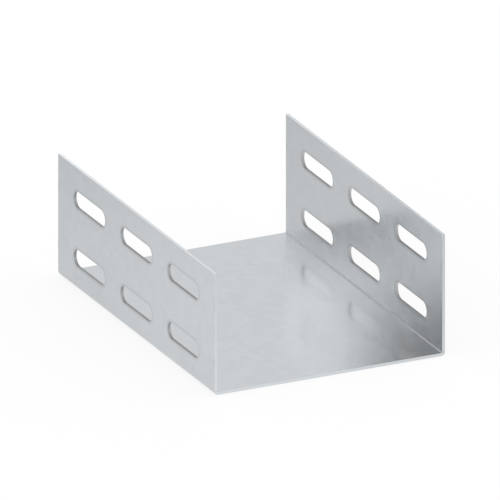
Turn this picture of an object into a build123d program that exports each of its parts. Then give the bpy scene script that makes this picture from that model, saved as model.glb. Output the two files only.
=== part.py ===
from build123d import *
import os

# Cable tray splice plate: one sheet folded into a U, which joins two tray ends.
# Origin: middle of the base's underside. X: along the tray's run. Y: across it. Z: up.
# All lengths are in millimetres.

# The folded sheet
plate_length = 140.0
outer_width = 98.0
flange_height = 50.0
sheet_thickness = 1.2
inner_bend_radius = 0.5

# The bolt slots, in two rows along both flanges. The lower row's middle lies as far from the
# underside as the upper row's middle lies from the flange's top edge.
slot_length = 28.0
slot_width = 7.0
slots_per_row = 3
row_edge_distance = 13.0


def folded_sheet():
    """The inside line of the U, thickened outwards by the sheet and drawn out along the run."""
    inner_half_width = outer_width / 2 - sheet_thickness
    with BuildPart() as sheet:
        with BuildSketch(Plane.YZ):
            with BuildLine():
                FilletPolyline(
                    (-inner_half_width, flange_height),
                    (-inner_half_width, sheet_thickness),
                    (inner_half_width, sheet_thickness),
                    (inner_half_width, flange_height),
                    radius=inner_bend_radius,
                )
                offset(amount=sheet_thickness, side=Side.RIGHT)
            make_face()
        extrude(amount=plate_length / 2, both=True)
    return sheet.part


def slot_centres():
    """Places along and up a flange: every slot of a row has an equal web of sheet on each side."""
    slot_web = (plate_length - slots_per_row * slot_length) / (slots_per_row + 1)
    slot_pitch = slot_length + slot_web
    first_slot_x = slot_web + slot_length / 2 - plate_length / 2
    row_heights = (row_edge_distance, flange_height - row_edge_distance)
    return [
        (first_slot_x + place * slot_pitch, row_height)
        for row_height in row_heights
        for place in range(slots_per_row)
    ]


def slot_cutters():
    """Round-ended bars across the U: each one opens the same slot in both flanges."""
    with BuildPart() as cutters:
        with BuildSketch(Plane.XZ):
            with Locations(*slot_centres()):
                SlotOverall(slot_length, slot_width)
        extrude(amount=outer_width, both=True)
    return cutters.part


def splice_plate():
    """The folded sheet with its slots opened."""
    return folded_sheet() - slot_cutters()


os.makedirs("parts", exist_ok=True)
export_step(splice_plate(), "parts/splice_plate.step")
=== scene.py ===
import math

import bpy
from mathutils import Matrix, Vector

# The camera: parallel, at the photograph's viewing angle. Pixels are those of the 500 by 500 frame, and
# the origin is the middle of the base's underside.
CAMERA_AZIMUTH = math.radians(64.6)
CAMERA_ELEVATION = math.radians(21.5)
CAMERA_DISTANCE = 0.6
FRAME_PIXELS = 500
PIXELS_PER_METRE = 2604
ORIGIN_PIXEL = (251.6, 315.1)

# Places on the plate that the finish depends on, in metres
HALF_LENGTH = 0.070
HALF_WIDTH = 0.049
FLANGE_HEIGHT = 0.050
SLOT_LENGTH = 0.028
SLOT_WIDTH = 0.007
SLOT_PITCH = 0.042
ROW_EDGE_DISTANCE = 0.013
BEND_RADIUS = 0.0017
EDGE_MARGIN = 0.0002

# A face counts as facing an axis when this much of its normal lies along it.
MOSTLY = 0.5
# Turns a range of -1 to 1 into one of 0 to 1, and the middle of a range of 0 to 1 into 0.
HALF = 0.5

# The zinc's colours. The rim colour is painted shade on the sheet right round a slot. The bend colour is
# painted shade on the inside of the bends.
ZINC_DARK = (0.515, 0.539, 0.558, 1)
ZINC_LIGHT = (0.572, 0.597, 0.619, 1)
SHADED_BEND_ZINC = (0.49, 0.51, 0.53, 1)
RIM_PAINTED_SHADE = (0.44, 0.46, 0.475, 1)
RIM_WIDTH = 0.0014

# The sheared steel's colours. The edge colour is bare steel, lightened as a painted highlight. A slot's
# wall has a painted highlight where it looks down, painted shade where it looks up, and a mixture
# between.
EDGE_STEEL_AND_HIGHLIGHT = (0.69, 0.72, 0.745, 1)
UPPER_WALL_HIGHLIGHT = (0.78, 0.79, 0.80, 1)
LOWER_WALL_SHADE = (0.27, 0.275, 0.28, 1)

# The sheet's roughness, how far the rolling lines and the mottle vary it, and what edges and bends add
SHEET_ROUGHNESS = 0.20
ROLLING_ROUGHNESS = 0.06
MOTTLE_ROUGHNESS = 0.06
EDGE_ROUGHNESS = 0.25
BEND_ROUGHNESS = 0.35

# The zinc's patterns: waves per metre along X, Y and Z, and fineness. The rolling lines run along X.
CLOUD_WAVES = (90, 90, 90)
CLOUD_DETAIL = 3.0
ROLLING_WAVES = (25, 1600, 1600)
ROLLING_DETAIL = 2.0
GRAIN_WAVES = (3500, 3500, 3500)
GRAIN_DETAIL = 2.0
CRYSTALS_PER_METRE = 260
CRYSTAL_SHARE = 0.4
ROLLING_RELIEF = 0.5
RELIEF_STRENGTH = 0.06
RELIEF_DEPTH = 0.00002

# Light rounding of the sheared edges, with lengths in metres
EDGE_ROUNDING = 0.00012
ROUNDING_STEPS = 2
ROUNDING_ANGLE = math.radians(40)
WELD_DISTANCE = 0.000001
FLAT_ANGLE = math.radians(1)
LARGE_FACE_WEIGHT = 100

# How much of the floor's whiteness is light that it scatters. The rest is a glow, which only the
# camera and reflections see. The gap keeps the floor's face clear of the plate's underside.
FLOOR_SHADE = 0.20
FLOOR_SIZE = 8.0
FLOOR_GAP = 0.0001

# What the plate's reflections see of the floor: a pool of light in front of the plate, which fades
# with the distance from its middle. Places and distances are in metres.
POOL_MIDDLE = (0.045, -0.140, 0)
POOL_RADIUS = 0.090
POOL_END = 0.314
POOL_GLOW = 0.84
FLOOR_END_GLOW = 0.58

WORLD_COLOUR = (1, 1, 1, 1)
WORLD_BRIGHTNESS = 1.0
WARM_WHITE = (1, 0.975, 0.955, 1)
COOL_WHITE = (0.96, 0.98, 1, 1)

# The studio's panels. Each one faces the plate: its bearing round the plate and its height above the
# floor, in degrees; its distance, width and height in metres; its brightness, where the world is 1; and
# its colour. The back panel is seen through the far flange's slots, so that they hardly show in the base.
PANELS = {
    "left_panel": (186.9, 32.0, 0.212, 0.044, 0.068, 2.23, WARM_WHITE),
    "strip_panel": (199.2, 18.2, 0.208, 0.136, 0.045, 2.09, WARM_WHITE),
    "dark_panel": (202.4, 34.3, 0.204, 0.060, 0.074, 0.05, WARM_WHITE),
    "low_panel": (192.7, 15.7, 0.200, 0.056, 0.031, 0.70, WARM_WHITE),
    "slot_panel": (131.6, 29.5, 0.200, 0.050, 0.059, 0.35, WARM_WHITE),
    "front_panel": (290.0, 32.0, 0.400, 0.500, 0.180, 1.60, WARM_WHITE),
    "back_panel": (145.6, 20.4, 0.195, 0.027, 0.034, 1.17, COOL_WHITE),
}

# A mix node's colour sockets, by number, because its sockets for numbers have the same names
MIX_FIRST_COLOUR = 6
MIX_SECOND_COLOUR = 7
MIX_RESULT_COLOUR = 2

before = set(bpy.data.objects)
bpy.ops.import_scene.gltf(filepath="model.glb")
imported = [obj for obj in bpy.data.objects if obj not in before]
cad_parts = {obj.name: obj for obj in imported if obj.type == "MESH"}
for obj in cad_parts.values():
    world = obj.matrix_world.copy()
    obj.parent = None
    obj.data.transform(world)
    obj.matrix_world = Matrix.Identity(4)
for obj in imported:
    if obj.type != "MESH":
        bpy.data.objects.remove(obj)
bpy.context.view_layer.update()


def feed(tree, socket, value):
    """Link another node's output into an input, or set the input to a plain value."""
    if isinstance(value, bpy.types.NodeSocket):
        tree.links.new(value, socket)
    else:
        socket.default_value = value


def calculate(tree, operation, *values):
    node = tree.nodes.new("ShaderNodeMath")
    node.operation = operation
    for socket, value in zip(node.inputs, values):
        feed(tree, socket, value)
    return node.outputs["Value"]


def size_of(tree, value):
    return calculate(tree, "ABSOLUTE", value)


def above(tree, value, limit):
    return calculate(tree, "GREATER_THAN", value, limit)


def both(tree, first, second):
    return calculate(tree, "MULTIPLY", first, second)


def either(tree, first, second):
    return calculate(tree, "MAXIMUM", first, second)


def opposite(tree, mask):
    return calculate(tree, "SUBTRACT", 1.0, mask)


def varied(tree, pattern, amount, middle):
    """A value round a middle: a pattern of 0 to 1 varies it by the given amount from end to end."""
    centred = calculate(tree, "SUBTRACT", pattern, HALF)
    return calculate(tree, "MULTIPLY_ADD", centred, amount, middle)


def fade(tree, value, start, end, start_result, end_result):
    """Go evenly from one result to the other while the value goes from its start to its end."""
    node = tree.nodes.new("ShaderNodeMapRange")
    feed(tree, node.inputs["Value"], value)
    node.inputs["From Min"].default_value = start
    node.inputs["From Max"].default_value = end
    node.inputs["To Min"].default_value = start_result
    node.inputs["To Max"].default_value = end_result
    return node.outputs["Result"]


def blend(tree, share, first, second):
    """A colour between two others: the first at share 0, the second at share 1."""
    node = tree.nodes.new("ShaderNodeMix")
    node.data_type = "RGBA"
    feed(tree, node.inputs["Factor"], share)
    feed(tree, node.inputs[MIX_FIRST_COLOUR], first)
    feed(tree, node.inputs[MIX_SECOND_COLOUR], second)
    return node.outputs[MIX_RESULT_COLOUR]


def axes(tree, vector):
    """A vector's three lengths, as outputs named X, Y and Z."""
    node = tree.nodes.new("ShaderNodeSeparateXYZ")
    feed(tree, node.inputs["Vector"], vector)
    return node.outputs


def noise(tree, coordinates, waves, detail):
    """Noise of a given fineness along each axis, in waves per metre."""
    scaled = tree.nodes.new("ShaderNodeMapping")
    feed(tree, scaled.inputs["Vector"], coordinates)
    scaled.inputs["Scale"].default_value = waves
    node = tree.nodes.new("ShaderNodeTexNoise")
    feed(tree, node.inputs["Vector"], scaled.outputs["Vector"])
    node.inputs["Scale"].default_value = 1.0
    node.inputs["Detail"].default_value = detail
    return node.outputs["Fac"]


def crystals(tree, coordinates):
    """The zinc's crystals: cells with a shade of their own."""
    cells = tree.nodes.new("ShaderNodeTexVoronoi")
    feed(tree, cells.inputs["Vector"], coordinates)
    cells.inputs["Scale"].default_value = CRYSTALS_PER_METRE
    shade = tree.nodes.new("ShaderNodeSeparateColor")
    feed(tree, shade.inputs["Color"], cells.outputs["Color"])
    return shade.outputs["Red"]


def sheared_places(tree, coordinates):
    """Masks of the sheared edges and of the slots' walls, and how far a face looks up, from 0 to 1.

    A sheared face looks along the run, or lies in a flange and doesn't look across it. At the plate's
    ends and tops it is an edge, and elsewhere a slot's wall."""
    place = axes(tree, coordinates.outputs["Object"])
    facing = axes(tree, coordinates.outputs["Normal"])
    at_end = above(tree, size_of(tree, place["X"]), HALF_LENGTH - EDGE_MARGIN)
    at_top = above(tree, place["Z"], FLANGE_HEIGHT - EDGE_MARGIN)
    outline = either(tree, at_end, at_top)
    faces_along = above(tree, size_of(tree, facing["X"]), MOSTLY)
    faces_across = above(tree, size_of(tree, facing["Y"]), MOSTLY)
    in_flange = above(tree, place["Z"], BEND_RADIUS)
    sheared = either(tree, faces_along, both(tree, in_flange, opposite(tree, faces_across)))
    edges = both(tree, sheared, outline)
    walls = both(tree, sheared, opposite(tree, outline))
    facing_up = calculate(tree, "MULTIPLY_ADD", facing["Z"], HALF, HALF)
    return edges, walls, facing_up


def slot_rim_shade(tree, coordinates):
    """A mask of painted shade on the sheet right round each slot: full at the slot's outline, none a
    rim's width away.

    A slot is measured from the line between the middles of its two round ends."""
    place = axes(tree, coordinates.outputs["Object"])
    along = calculate(tree, "WRAP", place["X"], SLOT_PITCH / 2, -SLOT_PITCH / 2)
    past_straight = calculate(tree, "SUBTRACT", size_of(tree, along), (SLOT_LENGTH - SLOT_WIDTH) / 2)
    from_arc = calculate(tree, "MAXIMUM", past_straight, 0.0)
    from_middle = size_of(tree, calculate(tree, "SUBTRACT", place["Z"], FLANGE_HEIGHT / 2))
    from_row = calculate(tree, "SUBTRACT", from_middle, FLANGE_HEIGHT / 2 - ROW_EDGE_DISTANCE)
    row_square = calculate(tree, "MULTIPLY", from_row, from_row)
    squares = calculate(tree, "MULTIPLY_ADD", from_arc, from_arc, row_square)
    outside = calculate(tree, "SUBTRACT", calculate(tree, "SQRT", squares), SLOT_WIDTH / 2)
    return fade(tree, outside, 0.0, RIM_WIDTH, 1.0, 0.0)


def bent_places(tree, coordinates):
    """A mask of the inside of the two bends: beside the base, no higher than a bend, and looking up."""
    place = axes(tree, coordinates.outputs["Object"])
    facing = axes(tree, coordinates.outputs["Normal"])
    beside_base = above(tree, size_of(tree, place["Y"]), HALF_WIDTH - BEND_RADIUS)
    in_flange = above(tree, place["Z"], BEND_RADIUS)
    bent = both(tree, beside_base, opposite(tree, in_flange))
    return both(tree, bent, above(tree, facing["Z"], 0.0))


def steel_material():
    """Zinc-coated sheet: a soft satin metal with faint crystals, rolling lines and fine grain.

    The bends are duller, with painted shade on their inside, and a ring of painted shade lies on the
    sheet round each slot.
    The sheared edges are bare steel lightened by a painted highlight, and the slots' walls rough steel
    with painted shade where they look up and a painted highlight where they look down."""
    material = bpy.data.materials.new("galvanised_steel")
    material.use_nodes = True
    tree = material.node_tree
    shader = tree.nodes["Principled BSDF"]
    shader.inputs["Metallic"].default_value = 1.0
    coordinates = tree.nodes.new("ShaderNodeTexCoord")
    place = coordinates.outputs["Object"]
    cloud = noise(tree, place, CLOUD_WAVES, CLOUD_DETAIL)
    lines = noise(tree, place, ROLLING_WAVES, ROLLING_DETAIL)
    grain = noise(tree, place, GRAIN_WAVES, GRAIN_DETAIL)
    cloud_part = calculate(tree, "MULTIPLY", cloud, 1 - CRYSTAL_SHARE)
    mottle = calculate(tree, "MULTIPLY_ADD", crystals(tree, place), CRYSTAL_SHARE, cloud_part)
    bends = bent_places(tree, coordinates)
    edges, walls, facing_up = sheared_places(tree, coordinates)

    zinc = blend(tree, mottle, ZINC_DARK, ZINC_LIGHT)
    # Painted shade in a ring on the sheet round each slot
    rim_shaded = blend(tree, slot_rim_shade(tree, coordinates), zinc, RIM_PAINTED_SHADE)
    # Painted shade on the inside of the bends
    bend_shaded = blend(tree, bends, rim_shaded, SHADED_BEND_ZINC)
    # Bare steel on the sheared edges, lightened as a painted highlight
    trimmed = blend(tree, edges, bend_shaded, EDGE_STEEL_AND_HIGHLIGHT)
    # Painted highlight on the slots' walls that look down, painted shade on those that look up
    wall_highlight_and_shade = blend(tree, facing_up, UPPER_WALL_HIGHLIGHT, LOWER_WALL_SHADE)
    feed(tree, shader.inputs["Base Color"], blend(tree, walls, trimmed, wall_highlight_and_shade))

    streaked = varied(tree, lines, ROLLING_ROUGHNESS, SHEET_ROUGHNESS)
    uneven = varied(tree, mottle, MOTTLE_ROUGHNESS, streaked)
    dulled = calculate(tree, "MULTIPLY_ADD", bends, BEND_ROUGHNESS, uneven)
    sheared = either(tree, edges, walls)
    roughness = calculate(tree, "MULTIPLY_ADD", sheared, EDGE_ROUGHNESS, dulled)
    feed(tree, shader.inputs["Roughness"], roughness)

    bump = tree.nodes.new("ShaderNodeBump")
    bump.inputs["Strength"].default_value = RELIEF_STRENGTH
    bump.inputs["Distance"].default_value = RELIEF_DEPTH
    feed(tree, bump.inputs["Height"], calculate(tree, "MULTIPLY_ADD", lines, ROLLING_RELIEF, grain))
    feed(tree, shader.inputs["Normal"], bump.outputs["Normal"])
    return material


def dress_plate(plate, material):
    """Give the plate its steel, and round its sheared edges slightly."""
    plate.data.materials.clear()
    plate.data.materials.append(material)
    weld = plate.modifiers.new("weld", "WELD")
    weld.merge_threshold = WELD_DISTANCE
    flatten = plate.modifiers.new("whole_faces", "DECIMATE")
    flatten.decimate_type = "DISSOLVE"
    flatten.angle_limit = FLAT_ANGLE
    bevel = plate.modifiers.new("rounded_edges", "BEVEL")
    bevel.width = EDGE_ROUNDING
    bevel.segments = ROUNDING_STEPS
    bevel.limit_method = "ANGLE"
    bevel.angle_limit = ROUNDING_ANGLE
    smooth = plate.modifiers.new("even_shading", "WEIGHTED_NORMAL")
    smooth.weight = LARGE_FACE_WEIGHT
    smooth.keep_sharp = False


def pool_of_light(tree):
    """The floor's brightness in reflections: full near the pool's middle, less further out."""
    geometry = tree.nodes.new("ShaderNodeNewGeometry")
    distance = tree.nodes.new("ShaderNodeVectorMath")
    distance.operation = "DISTANCE"
    feed(tree, distance.inputs[0], geometry.outputs["Position"])
    feed(tree, distance.inputs[1], POOL_MIDDLE)
    return fade(tree, distance.outputs["Value"], POOL_RADIUS, POOL_END, POOL_GLOW, FLOOR_END_GLOW)


def floor_surface(tree):
    """White to the camera, lit by the pool in reflections, and with a faint shadow."""
    diffuse = tree.nodes.new("ShaderNodeBsdfDiffuse")
    diffuse.inputs["Color"].default_value = (FLOOR_SHADE, FLOOR_SHADE, FLOOR_SHADE, 1)
    path = tree.nodes.new("ShaderNodeLightPath")
    seen = calculate(tree, "MULTIPLY", path.outputs["Is Camera Ray"], 1 - FLOOR_SHADE)
    mirrored = calculate(tree, "MULTIPLY", path.outputs["Is Glossy Ray"], pool_of_light(tree))
    glow = tree.nodes.new("ShaderNodeEmission")
    feed(tree, glow.inputs["Strength"], calculate(tree, "ADD", seen, mirrored))
    surface = tree.nodes.new("ShaderNodeAddShader")
    feed(tree, surface.inputs[0], diffuse.outputs["BSDF"])
    feed(tree, surface.inputs[1], glow.outputs["Emission"])
    return surface.outputs["Shader"]


def floor_material():
    """The floor's surface from above, and clear from below."""
    material = bpy.data.materials.new("pale_floor")
    material.use_nodes = True
    tree = material.node_tree
    tree.nodes.clear()
    geometry = tree.nodes.new("ShaderNodeNewGeometry")
    clear = tree.nodes.new("ShaderNodeBsdfTransparent")
    sides = tree.nodes.new("ShaderNodeMixShader")
    feed(tree, sides.inputs["Fac"], geometry.outputs["Backfacing"])
    feed(tree, sides.inputs[1], floor_surface(tree))
    feed(tree, sides.inputs[2], clear.outputs["BSDF"])
    output = tree.nodes.new("ShaderNodeOutputMaterial")
    feed(tree, output.inputs["Surface"], sides.outputs["Shader"])
    return material


def make_rectangle(name, width, height, material):
    """A flat rectangle round its own origin, with its face towards its Z."""
    across, along = width / 2, height / 2
    mesh = bpy.data.meshes.new(name)
    corners = [(-across, -along, 0), (across, -along, 0), (across, along, 0), (-across, along, 0)]
    mesh.from_pydata(corners, [], [(0, 1, 2, 3)])
    mesh.materials.append(material)
    rectangle = bpy.data.objects.new(name, mesh)
    bpy.context.scene.collection.objects.link(rectangle)
    return rectangle


def make_floor():
    floor = make_rectangle("floor", FLOOR_SIZE, FLOOR_SIZE, floor_material())
    floor.location.z = -FLOOR_GAP


def make_world():
    world = bpy.data.worlds.new("studio")
    bpy.context.scene.world = world
    world.use_nodes = True
    background = world.node_tree.nodes["Background"]
    background.inputs["Color"].default_value = WORLD_COLOUR
    background.inputs["Strength"].default_value = WORLD_BRIGHTNESS


def panel_material(name, brightness, colour):
    material = bpy.data.materials.new(name)
    material.use_nodes = True
    tree = material.node_tree
    tree.nodes.clear()
    glow = tree.nodes.new("ShaderNodeEmission")
    glow.inputs["Color"].default_value = colour
    glow.inputs["Strength"].default_value = brightness
    output = tree.nodes.new("ShaderNodeOutputMaterial")
    feed(tree, output.inputs["Surface"], glow.outputs["Emission"])
    return material


def make_panel(name, bearing, elevation, distance, width, height, brightness, colour):
    """A glowing panel that only the plate's reflections show."""
    panel = make_rectangle(name, width, height, panel_material(name, brightness, colour))
    outward = Vector((
        math.cos(math.radians(bearing)) * math.cos(math.radians(elevation)),
        math.sin(math.radians(bearing)) * math.cos(math.radians(elevation)),
        math.sin(math.radians(elevation)),
    ))
    panel.location = outward * distance
    panel.rotation_euler = outward.to_track_quat("Z", "Y").to_euler()
    panel.visible_camera = False
    panel.visible_diffuse = False
    panel.visible_shadow = False


def camera_axes():
    """Unit vectors from the object to the camera, to the picture's right and to its top."""
    back = Vector((
        math.sin(CAMERA_AZIMUTH) * math.cos(CAMERA_ELEVATION),
        -math.cos(CAMERA_AZIMUTH) * math.cos(CAMERA_ELEVATION),
        math.sin(CAMERA_ELEVATION),
    ))
    right = Vector((math.cos(CAMERA_AZIMUTH), math.sin(CAMERA_AZIMUTH), 0))
    return back, right, back.cross(right)


def make_camera():
    """A parallel camera that puts the plate's origin on its pixel."""
    back, right, up = camera_axes()
    middle = FRAME_PIXELS / 2
    aim = (right * (middle - ORIGIN_PIXEL[0]) + up * (ORIGIN_PIXEL[1] - middle)) / PIXELS_PER_METRE
    data = bpy.data.cameras.new("camera")
    data.type = "ORTHO"
    data.ortho_scale = FRAME_PIXELS / PIXELS_PER_METRE
    camera = bpy.data.objects.new("camera", data)
    camera.rotation_euler = Matrix((right, up, back)).transposed().to_euler()
    camera.location = aim + back * CAMERA_DISTANCE
    bpy.context.scene.collection.objects.link(camera)
    bpy.context.scene.camera = camera


dress_plate(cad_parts["splice_plate"], steel_material())
make_floor()
make_world()
for panel_name, panel_values in PANELS.items():
    make_panel(panel_name, *panel_values)
make_camera()
bpy.context.scene.view_settings.view_transform = "Standard"
